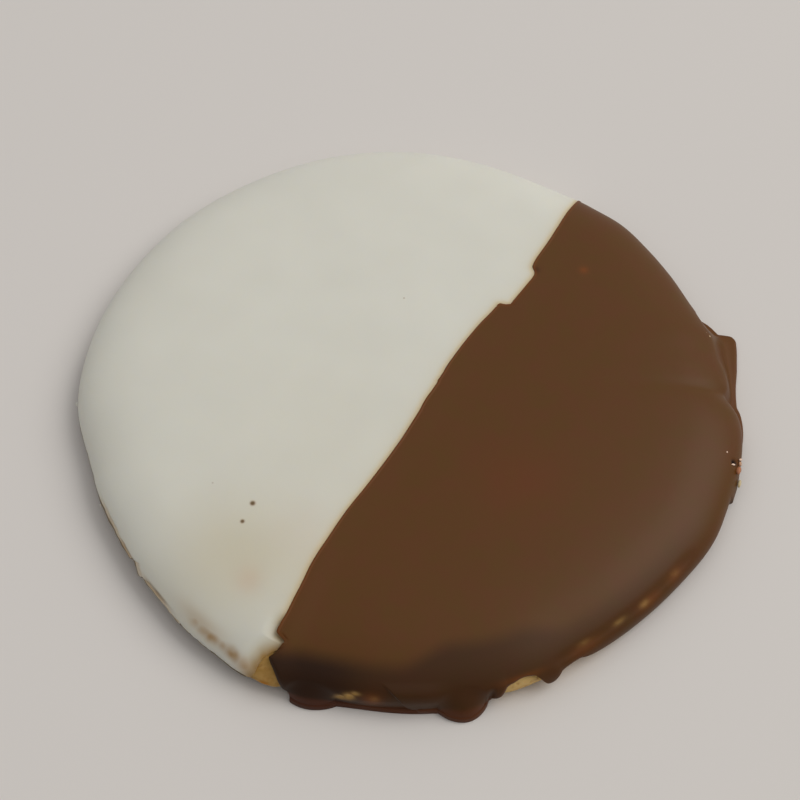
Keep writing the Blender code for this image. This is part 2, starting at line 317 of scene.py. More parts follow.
# Relief finer than the mesh: a noise of the given size and depth in millimetres
def fineRelief(tree, place, shader, sizeMm, depthMm, detail):
    noise = addNode(tree, "ShaderNodeTexNoise", {"Scale": 1000 / sizeMm, "Detail": detail}, {"Vector": place})
    depth = {"Distance": depthMm / 1000, "Strength": 1.0}
    bump = addNode(tree, "ShaderNodeBump", depth, {"Height": noise.outputs["Fac"]})
    tree.links.new(bump.outputs[0], shader.inputs["Normal"])


# Burst bubbles, finer than the mesh: round marks by distance from their middles, with a soft tan rim
# round a brown hole
def burstBubbles(tree, place, colour):
    for x, y, radius, strength in whiteIcing["bubbles"]:
        angle, run = np.array(math.atan2(y, x)), np.array(math.hypot(x, y))
        middle = cakeSurface(angle, run) + cakeNormals(angle, run) * whiteIcing["thickness"]
        middle = middle - np.array([*form["middle"], 0])
        settings = {"operation": "DISTANCE", 1: tuple(middle)}
        away = addNode(tree, "ShaderNodeVectorMath", settings, {0: place}).outputs["Value"]
        for hexColour, share in whiteIcing["bubbleTones"]:
            settings = {"interpolation_type": "SMOOTHSTEP", "From Min": radius * share, "To Max": strength}
            settings["From Max"] = radius * share * 0.25
            inside = addNode(tree, "ShaderNodeMapRange", settings, {"Value": away}).outputs[0]
            tones = {"data_type": "RGBA", 7: linear(hexColour)}
            colour = addNode(tree, "ShaderNodeMix", tones, {0: inside, 6: colour}).outputs[2]
    return colour


# Poured sugar fondant: set to a close satin skin, a little see-through, so cake tints it where thin
def whiteFondant():
    settings = {
        "Roughness": 0.48,
        "IOR": 1.49,
        "Specular IOR Level": 0.35,
        "Subsurface Weight": 0.35,
        "Subsurface Radius": (1.0, 0.85, 0.6),
        "Subsurface Scale": 0.0018,
    }
    material, tree, shader = newMaterial("whiteFondant", settings)
    place = addNode(tree, "ShaderNodeTexCoord").outputs["Object"]
    colour = drifting(tree, place, "#E1E0D6", "#E4E3D9", 11, 1)
    # yellowed where cake lies under thin icing; the tone is also darker, and the large spot at the lower left
    # is partly painted shade
    colour = laidOver(tree, colour, "#CFC5A8", "yellowed")
    colour = laidOver(tree, colour, "#D6C39C", "tanRim")
    colour = laidOver(tree, colour, "#D2A27C", "blush")
    # cake showing through where the icing is thin, and painted shade on the slope above the streaks
    colour = laidOver(tree, colour, "#A87F42", "cakeShow")
    # painted shadow along the lower edge where it meets the tray, and two short dark lines in its border
    colour = laidOver(tree, colour, "#5A4A34", "darkLine")
    colour = burstBubbles(tree, place, colour)
    tree.links.new(colour, shader.inputs["Base Color"])
    fineRelief(tree, place, shader, 0.5, 0.008, 2)
    return material


# Poured chocolate fondant: a satin brown, redder at thin edges, golden where cake shows through it
def chocolateFondant():
    settings = {
        "Roughness": 0.45,
        "IOR": 1.48,
        "Specular IOR Level": 0.27,
        "Subsurface Weight": 0.05,
        "Subsurface Radius": (1.0, 0.4, 0.15),
        "Subsurface Scale": 0.0005,
    }
    material, tree, shader = newMaterial("chocolateFondant", settings)
    place = addNode(tree, "ShaderNodeTexCoord").outputs["Object"]
    colour = drifting(tree, place, "#5E3610", "#5B390A", 4, 2)
    # painted shade over the front slope, and a few dark spots
    colour = laidOver(tree, colour, "#2B1300", "paintedFrontShade")
    colour = laidOver(tree, colour, "#6E3010", "ruddy")
    colour = laidOver(tree, colour, "#7E3F08", "thinEdge")
    colour = laidOver(tree, colour, "#E0B468", "cakeShow")
    # painted shade in the chip's hole and under the broken chunk
    colour = laidOver(tree, colour, "#1A0803", "paintedHoleShade")
    tree.links.new(colour, shader.inputs["Base Color"])
    fineRelief(tree, place, shader, 0.6, 0.008, 2)
    return material


# Baked cake: pale gold and open-pored where it broke, browner where it met the tray, with painted shade in
# its pores and painted shadow along its foot
def cakeCrumb():
    settings = {
        "Roughness": 0.85,
        "IOR": 1.45,
        "Specular IOR Level": 0.3,
        "Subsurface Weight": 0.2,
        "Subsurface Radius": (1.0, 0.6, 0.3),
        "Subsurface Scale": 0.001,
    }
    material, tree, shader = newMaterial("cakeCrumb", settings)
    place = addNode(tree, "ShaderNodeTexCoord").outputs["Object"]
    colour = drifting(tree, place, "#AB8445", "#BE985A", 1.4, 2)
    # pale at the rim's edge, and a painted glint along the bottom of the bare cake
    colour = laidOver(tree, colour, "#D2B276", "paleEdgeAndGlint")
    colour = laidOver(tree, colour, "#B27526", "baked")
    # painted shade in the pores
    colour = laidOver(tree, colour, "#96611F", "paintedPoreShade")
    # painted shadow at the foot, where the cake meets the tray
    colour = laidOver(tree, colour, "#644B2B", "paintedFootShadow")
    tree.links.new(colour, shader.inputs["Base Color"])
    fineRelief(tree, place, shader, 0.35, 0.05, 3)
    return material


# Broken bits of icing and cake: a dry matt sugar crumb, pale, rusty or olive tan
def brokenCrumb():
    settings = {"Roughness": 0.6, "IOR": 1.48, "Specular IOR Level": 0.4}
    material, tree, shader = newMaterial("brokenCrumb", settings)
    place = addNode(tree, "ShaderNodeTexCoord").outputs["Object"]
    colour = drifting(tree, place, "#E9C5AC", "#F6DCC8", 0.4, 1)
    colour = laidOver(tree, colour, "#A8643A", "rusty")
    colour = laidOver(tree, colour, "#CDBE94", "oliveTan")
    tree.links.new(colour, shader.inputs["Base Color"])
    return material


# Where a row runs from the line between the icings to the lower edge: near both it is finely divided
def columnShares(count, crowding):
    step = np.linspace(0, 1, count)
    return step - crowding * np.sin(2 * math.pi * step) / (2 * math.pi)


# Flat coordinates of one icing: rows from its inner line to its lower edge, from tip to tip. Rows
# are set by their angles at the lower edge, and the first and last fall on the tips. The distance
# that each place has left to the lower edge is given too.
def icingGrid(side, innerLine, lowerEdge, ends, rowAngles, shares):
    tips = [np.array([float(innerLine(end)), end]) for end in ends]
    turns = [math.atan2(tip[1], tip[0]) for tip in tips]
    if side < 0:
        tips.reverse()
        turns = [turns[1], turns[0] + 2 * math.pi]
    places, numbers = np.array(rowAngles, float).T
    places = np.radians(places)
    places[[0, -1]] = turns
    angle = np.interp(np.arange(1, numbers[-1]), numbers, places)
    lift = (np.sin(angle) - math.sin(turns[0])) / (math.sin(turns[1]) - math.sin(turns[0]))
    innerRun = tips[0][1] + (tips[1][1] - tips[0][1]) * lift
    inner = np.stack([innerLine(innerRun), innerRun], -1)
    outer = lowerEdge(angle)[:, None] * np.stack([np.cos(angle), np.sin(angle)], -1)
    column = shares[None, :, None]
    spots = inner[:, None] * (1 - column) + outer[:, None] * column
    length = np.linalg.norm(outer - inner, axis=-1)[:, None]
    return spots, length * (1 - column[..., 0]), tips


# Flat coordinates as angle and way along the surface
def anglesOf(spots, side):
    angle = np.arctan2(spots[..., 1], spots[..., 0])
    if side < 0:
        angle = np.where(angle < 0, angle + 2 * math.pi, angle)
    return angle, np.linalg.norm(spots, axis=-1)


# 0 at an edge and 1 from the given width on, as a quarter circle
def rounded(distance, width):
    return np.sqrt(1 - (1 - np.clip(distance / width, 0, 1)) ** 2)


# Thickness of an icing: the rim's, and more by the share that is 1 in the middle
def fullThickness(icing, middle):
    return icing["rimThickness"] + (icing["thickness"] - icing["rimThickness"]) * middle


def chocolateLine(way):
    return curveThrough(form["parting"], way)


# Distance to the nearest place on a line between the icings, above 0 on its chocolate side. The
# line is taken as short straight pieces, one at a time, and every place is measured from it at once.
def pastLine(spots, line):
    ways = np.linspace(-0.0640, 0.0640, form["partingPieces"])
    ends = np.stack([line(ways), ways], -1)
    nearest = np.full(spots.shape[:-1], 1.0)
    for start, end in zip(ends[:-1], ends[1:]):
        piece = end - start
        share = np.clip((spots - start) @ piece / (piece @ piece), 0, 1)
        nearest = np.minimum(nearest, np.linalg.norm(spots - start - share[..., None] * piece, axis=-1))
    return nearest * np.sign(spots[..., 0] - line(spots[..., 1]))


# White icing
whiteIcing = {
    "thickness": 0.0012,
    "rimThickness": 0.0008,
    "shoulder": 0.011,  # width over which it thins towards the rim
    "rounding": 0.0009,
    "lap": 0.0010,  # how far it runs under the chocolate
    "ends": (-0.0606, 0.0596),
    # lower edge: (degrees, way past the rim line)
    "edge": (
        (80, 0.0010), (150, 0.0014), (200, 0.0014), (210, 0.0006), (222, -0.0001), (232, -0.0004),
        (240, -0.0005), (252, -0.0004), (264, -0.0003), (272, 0.0001), (276, 0.0005),
    ),
    # near the front its side leaves the chocolate, and bare cake shows between them
    "front": (
        (-0.0625, 0.0022), (-0.0600, 0.0036), (-0.0580, 0.0045), (-0.0560, 0.0047), (-0.0543, 0.0052),
        (-0.0530, 0.0062), (-0.0515, 0.0082),
    ),
    "rows": ((84, 0), (100, 20), (200, 210), (226, 290), (260, 440), (279, 545)),
    "columns": 150,
    "underColumns": 14,
    # burst bubbles: (to the chocolate side, away from the front, radius, strength)
    "bubbles": (
        (-0.01055, -0.03476, 0.00078, 0.95), (-0.01020, -0.03842, 0.00064, 0.90),
        (-0.0190, -0.0349, 0.00030, 0.20), (-0.0090, 0.0153, 0.00030, 0.35),
    ),
    # their tones, and the share of the radius that each reaches
    "bubbleTones": (("#B7A084", 1.0), ("#6A5434", 0.72)),
    # cake showing through the thin slope: (degrees, way past the rim line, half sizes, strength)
    "showing": (
        ((-98.4, -0.0024, 1.7, 0.0008), 0.58), ((-96.2, -0.0023, 1.7, 0.0008), 0.78),
        ((-94.2, -0.0021, 1.8, 0.0008), 0.95), ((-92.0, -0.0020, 1.6, 0.0007), 0.72),
        ((-90.0, -0.0020, 1.9, 0.0009), 0.98), ((-87.2, -0.0018, 1.8, 0.0010), 0.55),
        ((-107.6, -0.0010, 3.4, 0.00032), 0.80), ((-118.0, -0.0010, 1.9, 0.00032), 0.70),
    ),
    # two short dark lines in the border, laid into the same mark as the painted shadow
    "darkLines": (((-107.4, -0.0012, 2.6, 0.00014), 0.55), ((-118.0, -0.0012, 1.5, 0.00014), 0.45)),
    # its lower edge is thin and see-through from here to here: (degrees)
    "thinBorder": (-126, -86),
    # between these angles shadow is painted along the edge where it meets the tray
    "contactAngles": (-160, -88),  # from here to here the edge is dark where it meets the tray
    # painted shade on the slope above the streaks, laid in with the cake's colour: (degrees, way past the rim
    # line, half sizes), strength
    "shade": ((-97.5, -0.0030, 5.0, 0.0013), 0.34),
    "knob": (-113.4, 0.0002, 0.8, 0.0007),
    # the knob and a notch in the lower edge: (degrees, half width in degrees, how far out)
    "edgeShapes": ((-115.8, 0.8, -0.0006), (-113.4, 0.9, 0.0004)),
    # groove and bead along the thin border: (way in from the edge, half width, height)
    "borderShapes": ((0.0013, 0.0004, -0.00034), (0.0006, 0.0003, 0.00026)),
    "borderTint": (0.45, 0.20),  # how yellow and how blushed it is
    # film beside the bare cake: its width, how much thinner it is, and how yellow
    "film": (0.0034, 0.78, 0.9),
    "filmShowing": (0.0026, 0.95),  # width over which cake shows through the film, and how strongly
    # beside the chocolate: width and strength of the yellow, and width of the tan rim
    "lineTint": (0.0022, 0.20, 0.00068),
    # tints on the flat: (to the chocolate side, away from the front, radius, strength)
    # the first of these, at the lower left, is partly painted shade as well as yellowing
    "yellowSpots": (
        (-0.0096, -0.0450, 0.010, 0.50), (-0.001, -0.041, 0.008, 0.25), (-0.006, -0.020, 0.018, 0.12),
    ),
    "blushSpots": ((-0.0035, -0.0462, 0.0024, 0.22), (0.0005, -0.034, 0.006, 0.08)),
    "showingSpots": ((0.0062, -0.0520, 0.0013, 0.50),),
    "blushSlope": ((-86.6, -0.0016, 2.0, 0.0012), 0.35),
}


def whiteLine(way):
    shared = chocolateLine(way) + whiteIcing["lap"]
    front = np.minimum(shared, curveThrough(whiteIcing["front"], way))
    return np.where(way < whiteIcing["front"][-1][0], front, shared)


def whiteEdge(angle):
    ragged = rimPlace(angle)
    front = between(angle, -136, -86, 14)
    wander = 0.00010 * swells(ragged, 0.0045, 11) + front * 0.00012 * swells(ragged, 0.0012, 12)
    edge = rimRun + curveThrough(whiteIcing["edge"], np.degrees(angle)) + wander
    for degrees, halfWidth, out in whiteIcing["edgeShapes"]:
        edge = edge + out * np.exp(-((turnFrom(angle, degrees) / halfWidth) ** 2))
    return edge


# Height of the white's top above the cake: thinner at the rim, rounded at its edges, a film by the
# bare cake, and a beaded border with a groove inside it along the lower left
def whiteHeight(angle, run, points, inner, nearEdge):
    middle = smoothStep((rimRun - run) / whiteIcing["shoulder"])
    full = fullThickness(whiteIcing, middle)
    full = full + 0.00006 * swells(points, 0.016, 21) + 0.000012 * swells(points, 0.005, 22)
    full = full * (1 - whiteIcing["film"][1] * filmShare(points, inner))
    border = between(angle, *whiteIcing["thinBorder"], 6)
    uneven = 0.6 + 0.5 * swells(points, 0.0015, 23)
    for wayIn, halfWidth, rise in whiteIcing["borderShapes"]:
        full = full + border * rise * uneven * np.exp(-(((nearEdge - wayIn) / halfWidth) ** 2))
    full = full + 0.0003 * rimSpot(angle, run, whiteIcing["knob"])
    return 0.0001 + (full - 0.0001) * rounded(np.minimum(inner, nearEdge), whiteIcing["rounding"])


# 1 where the white thins to a film beside the bare cake, at the front
def filmShare(points, inner):
    return smoothStep((-0.0480 - points[..., 1]) / 0.0030) * (1 - smoothStep(inner / whiteIcing["film"][0]))


# Rings of one icing: over its top, then back underneath on fewer columns
def icingRings(top, under, underColumns):
    back = np.linspace(top.shape[1] - 1, 0, underColumns).round().astype(int)
    return np.concatenate([top, under[:, back]], axis=1), back


# Marks kept from 0 to 1 on the top, and 0 underneath
def onTopOnly(marks, back):
    marks = {key: np.clip(value, 0, 1) for key, value in marks.items()}
    return {key: np.concatenate([value, 0 * value[:, back]], axis=1) for key, value in marks.items()}


# The two points that close an icing's tips
def tipPoles(tips, side):
    angle, run = anglesOf(np.array(tips), side)
    return cakeSurface(angle, run) + cakeNormals(angle, run) * 0.0001


def buildWhiteIcing(material):
    shares = columnShares(whiteIcing["columns"], 0.8)
    grid = icingGrid(-1, whiteLine, whiteEdge, whiteIcing["ends"], whiteIcing["rows"], shares)
    spots, nearEdge, tips = grid
    angle, run = anglesOf(spots, -1)
    base = cakeSurface(angle, run)
    normals = cakeNormals(angle, run)
    inner = -pastLine(spots, whiteLine)
    besideChocolate = -pastLine(spots, chocolateLine)
    height = whiteHeight(angle, run, base, inner, nearEdge)
    top = base + normals * (height + 0.00004)[..., None]
    under = base + normals * 0.00003
    top[..., 2] = np.maximum(top[..., 2], 0.0003)
    under[..., 2] = np.maximum(under[..., 2], 0.00025)
    rings, back = icingRings(top, under, whiteIcing["underColumns"])

    film = filmShare(base, inner)
    showWidth, showStrength = whiteIcing["filmShowing"]
    show = showStrength * film * (1 - smoothStep(inner / showWidth))
    for spot, strength in whiteIcing["showing"]:
        show = np.maximum(show, strength * rimSpot(angle, run, spot))
    show = np.maximum(show, flatTint(spots, whiteIcing["showingSpots"]))
    show = show * (0.85 + 0.25 * swells(base, 0.0010, 31))
    # painted shade on the slope, in the same mark as the cake showing through
    shade, strength = whiteIcing["shade"]
    show = np.maximum(show, strength * rimSpot(angle, run, shade))
    # the band of painted shadow reaches further up where the side is seen from further round
    reach = np.interp(turnFrom(angle, -90), (-70, -20), (0.00100, 0.00072))
    contact = 1 - smoothStep((nearEdge - reach) / 0.00020)
    darkLine = 0.95 * between(angle, *whiteIcing["contactAngles"], 6) * contact
    for spot, strength in whiteIcing["darkLines"]:
        darkLine = np.maximum(darkLine, strength * rimSpot(angle, run, spot))
    border = between(angle, *whiteIcing["thinBorder"], 6) * (1 - smoothStep((nearEdge - 0.0013) / 0.0010))
    borderYellow, borderBlush = whiteIcing["borderTint"]
    yellow = flatTint(spots, whiteIcing["yellowSpots"]) + borderYellow * border + whiteIcing["film"][2] * film
    nearLine = smoothStep((spots[..., 1] + 0.0500) / 0.002) * (besideChocolate > 0)
    yellowWidth, yellowStrength, tanWidth = whiteIcing["lineTint"]
    yellow = yellow + yellowStrength * nearLine * np.exp(-((besideChocolate / yellowWidth) ** 2))
    tanRim = nearLine * np.exp(-((besideChocolate / tanWidth) ** 2))
    slope, strength = whiteIcing["blushSlope"]
    blush = flatTint(spots, whiteIcing["blushSpots"]) + borderBlush * border
    blush = blush + strength * rimSpot(angle, run, slope)
    marks = {"cakeShow": show, "yellowed": yellow, "tanRim": tanRim, "blush": blush, "darkLine": darkLine}
    marks = onTopOnly(marks, back)
    piece = skinMesh("whiteIcing", [(rings, tipPoles(tips, -1), marks)], material)
    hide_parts("white_icing")
    return piece


# Chocolate icing
chocolateIcing = {
    "thickness": 0.0013,
    "rimThickness": 0.0008,
    "shoulder": 0.011,
    "lineRounding": 0.0008,
    "edgeRounding": 0.0008,
    "lipHeight": 0.00010,
    "lipWidth": 0.0050,
    "ends": (-0.0612, 0.0578),
    # lower edge: (degrees, way past the rim line)
    "edge": (
        (-90, 0.0018), (-60, 0.0018), (-50, 0.0016), (-47, 0.0006), (-45.2, -0.0002), (-44.0, -0.0014),
        (-42.5, -0.0019), (-40, -0.0018), (-38.7, -0.0012), (-37.6, 0.0001), (-36.2, 0.0006),
        (-34.2, -0.0002), (-31, -0.0004), (-28, 0.0004), (-22, 0.0012), (-10, 0.0018), (60, 0.0018),
        (90, 0.0010),
    ),
    # drips that hang at the rim: (degrees, half width in degrees, how far each stands out)
    "hanging": ((-45.6, 1.5, 0.0003), (-36.7, 2.1, 0.0005)),
    "hangingHeight": 0.0032,
    # where icing ran down and set on the tray: (degrees, radius it reaches there)
    "frontToe": ((-83, 0.0575), (-80.6, 0.0582), (-68, 0.0583), (-57, 0.0587), (-48, 0.0585), (-46, 0.0575)),
    "drips": ((-77.0, 5.2, 0.0014), (-51.2, 4.2, 0.0018)),
    "tongueToe": (
        (18, 0.0600), (22.2, 0.0604), (26.2, 0.0606), (28.4, 0.0604), (30.6, 0.0599), (32.6, 0.0600),
        (35.3, 0.0605), (37.6, 0.0612), (40.3, 0.0620), (43.1, 0.0629), (43.9, 0.0631), (44.35, 0.0630),
        (44.75, 0.0627), (45.2, 0.0618), (45.7, 0.0607), (46.3, 0.0604), (47.7, 0.0599), (48.7, 0.0594),
        (49.2, 0.0591), (50.2, 0.0582), (52, 0.0572),
    ),
    "settled": ((-80.9, -47.6, 1.6), (23.5, 49.6, 1.8)),
    "toeZone": 0.0024,  # length of the slope that turns into a toe, and what a long toe adds
    "longToeZone": 0.0026,
    "toeBend": 0.62,  # where the second point of the toe's curve leaves the slope, as a share of its length
    "toeEnd": 0.82,  # where its rounded end starts
    "toeHeight": 0.0011,  # height there
    "toeCap": 0.0006,  # how far the rounded end stands out
    "dripFullness": 0.0012,  # how much taller the drips are at their shoulder than the rest of the toe
    # a second lobe that lapped over the first: (degrees of its seam, slant in degrees, step)
    "seam": (-63.6, 3.0, 0.0004),
    "groove": (0.0022, 0.0007, 0.0002),  # at the right: (way in from the rim line, half width, depth)
    # the broken chunk below the chip, which ends in a step
    "chunk": {"start": 10.6, "end": 20.0, "reach": 0.0012},
    # the chip's hole: (degrees, way past the rim line, half sizes, depth)
    "chip": ((16.2, -0.0021, 0.45, 0.00050), 0.00060),
    "rows": (
        (-80, 0), (-66, 90), (-48, 175), (-34, 250), (8, 345), (21, 415), (28, 430), (43.5, 475),
        (47, 502), (60, 516), (84, 545),
    ),
    "columns": 152,
    "underColumns": 14,
    # cake or caramel colour showing through: (degrees, way past the rim line, half sizes, strength)
    "showing": (
        ((-70.9, -0.0004, 1.0, 0.00030), 0.70), ((-69.7, -0.0007, 0.8, 0.00045), 0.85),
        ((-68.7, -0.0013, 0.7, 0.0003), 0.50), ((-65.6, -0.0008, 0.6, 0.0004), 0.16),
        ((-8.5, -0.0022, 0.9, 0.0006), 0.10), ((-16.5, -0.0020, 0.9, 0.00045), 0.28),
        ((-22.2, -0.0022, 1.2, 0.0004), 0.24), ((-29.5, -0.0025, 1.2, 0.0004), 0.16),
    ),
    "caramel": (
        ((-41.5, -0.0022, 3.2, 0.0005), 0.40), ((-29.5, -0.0018, 3.4, 0.0009), 0.28),
        ((-8.8, -0.0020, 2.0, 0.0008), 0.32), ((-15.3, -0.0018, 2.4, 0.0008), 0.34),
        ((-66.0, -0.0006, 1.5, 0.0009), 0.50),
    ),
    # painted shade on the front slope, which faces away from the light: (degrees, strength), from this far
    # above the rim line on
    "paintedFrontShade": (
        (-84, 0.93), (-72, 0.93), (-67, 0.72), (-58, 0.64), (-50, 0.60), (-40, 0.50), (-28, 0.40),
        (-10, 0.28), (4, 0.08), (14, 0.0),
    ),
    "paintedFrontShadeStart": 0.0076,
    "paintedFrontShadeHigher": 0.0032,  # and this much higher in the middle of the front
    # golden where the icing is thin: width, and strengths beside the white, at the edge, on the tongue
    "thinEdge": (0.0005, 0.50, 0.30, 0.15),
    # tints on the flat: (to the chocolate side, away from the front, radius, strength)
    "goldenSpots": ((0.01605, 0.0383, 0.0008, 0.70),),
    "ruddySpots": ((0.0270, -0.0083, 0.0075, 0.28),),
    "darkSpots": ((0.0085, 0.0334, 0.0007, 0.60),),
}


# Outline of a drip from above: a round lobe
def lobe(degrees, centre, halfWidth):
    return np.clip(1 - ((degrees - centre) / halfWidth) ** 2, 0, 1) ** 0.9


# Radius that the toe reaches, and how much of a drip it is there
def toeRadius(degrees):
    radius, dripping = curveThrough(chocolateIcing["frontToe"], degrees), 0 * degrees
    for centre, halfWidth, out in chocolateIcing["drips"]:
        radius = radius + out * lobe(degrees, centre, halfWidth)
        dripping = dripping + lobe(degrees, centre, halfWidth)
    return np.where(degrees > 0, curveThrough(chocolateIcing["tongueToe"], degrees), radius), dripping


def chunkReach(degrees):
    chunk = chocolateIcing["chunk"]
    start = smoothStep((degrees - chunk["start"] + 0.2) / 0.4)
    return chunk["reach"] * start * smoothStep((chunk["end"] - degrees) / 7)


def chocolateEdge(angle):
    edge = curveThrough(chocolateIcing["edge"], np.degrees(angle))
    ragged = rimPlace(angle)
    patch = between(angle, -46, -30, 3)
    return rimRun + edge + 0.00008 * swells(ragged, 0.004, 41) + patch * 0.00018 * swells(ragged, 0.0012, 42)


# Height of the white under the chocolate's edge, which the chocolate lies on
def whiteBelow(spots, middle):
    inner = -pastLine(spots, whiteLine)
    full = fullThickness(whiteIcing, middle)
    return full * rounded(np.maximum(inner, 0), whiteIcing["rounding"]) * (inner > 0)


# Radius and height of the icing's slope at a distance above its lower edge
def slopeAbove(angle, gap):
    run = chocolateEdge(angle) - gap
    spots = cakeSurface(angle, run) + cakeNormals(angle, run) * chocolateIcing["rimThickness"]
    return np.hypot(spots[..., 0], spots[..., 1]), spots[..., 2]


# Bends the lowest part of the slope out into a toe on the tray. Its section is a curve pulled from
# the slope to the toe by five points, a^4 p0 + 4a^3b p1 + 6a^2b^2 p2 + 4ab^3 p2 + b^4 p3, and the
# toe ends in a quarter ellipse. Beside the line between the icings the toe fades into the slope.
def settleOnTray(top, angle, run, past):
    reach, dripping = toeRadius(np.degrees(angle))
    gap = np.maximum(chocolateEdge(angle) - run, 0)
    wall = rimRadius(angle) + chocolateIcing["rimThickness"]
    zone = chocolateIcing["toeZone"] + np.clip(reach - wall, 0, chocolateIcing["longToeZone"])
    firstRadius, firstHeight = slopeAbove(angle, zone)
    secondRadius, secondHeight = slopeAbove(angle, chocolateIcing["toeBend"] * zone)
    cap = chocolateIcing["toeCap"] * (1 - 0.5 * dripping)
    tip = np.maximum(reach - cap, np.minimum(wall, reach) - 0.0002)
    cap = reach - tip
    corner = tip - (0.78 - 0.45 * dripping) * np.maximum(0, tip - wall - 0.0002)
    toeHeight = chocolateIcing["toeHeight"]
    shoulder = 1.15 * toeHeight + chocolateIcing["dripFullness"] * dripping
    way, toeEnd = 1 - gap / zone, chocolateIcing["toeEnd"]
    b = np.clip(way / toeEnd, 0, 1)
    a = 1 - b
    weights = (a**4, 4 * a**3 * b, 6 * a**2 * b**2 + 4 * a * b**3, b**4)
    turn = np.clip((way - toeEnd) / (1 - toeEnd), 0, 1) * math.pi / 2
    radii = (firstRadius, secondRadius, corner, tip)
    heights = (firstHeight, secondHeight, shoulder, toeHeight)
    toeOut = sum(weight * part for weight, part in zip(weights, radii)) + cap * np.sin(turn)
    toeUp = sum(weight * part for weight, part in zip(weights, heights)) * np.cos(turn) + 0.00008
    share = sum(between(angle, *stretch) for stretch in chocolateIcing["settled"])
    share = share * smoothStep((zone - gap) / 0.0008) * smoothStep(past / 0.0010)
    radius, height = np.hypot(top[..., 0], top[..., 1]), top[..., 2]
    around = np.arctan2(top[..., 1], top[..., 0])
    newRadius = radius + (toeOut - radius) * share
    newHeight = height + (toeUp - height) * share
    points = np.stack([newRadius * np.cos(around), newRadius * np.sin(around), newHeight], -1)
    return points, share, b, gap


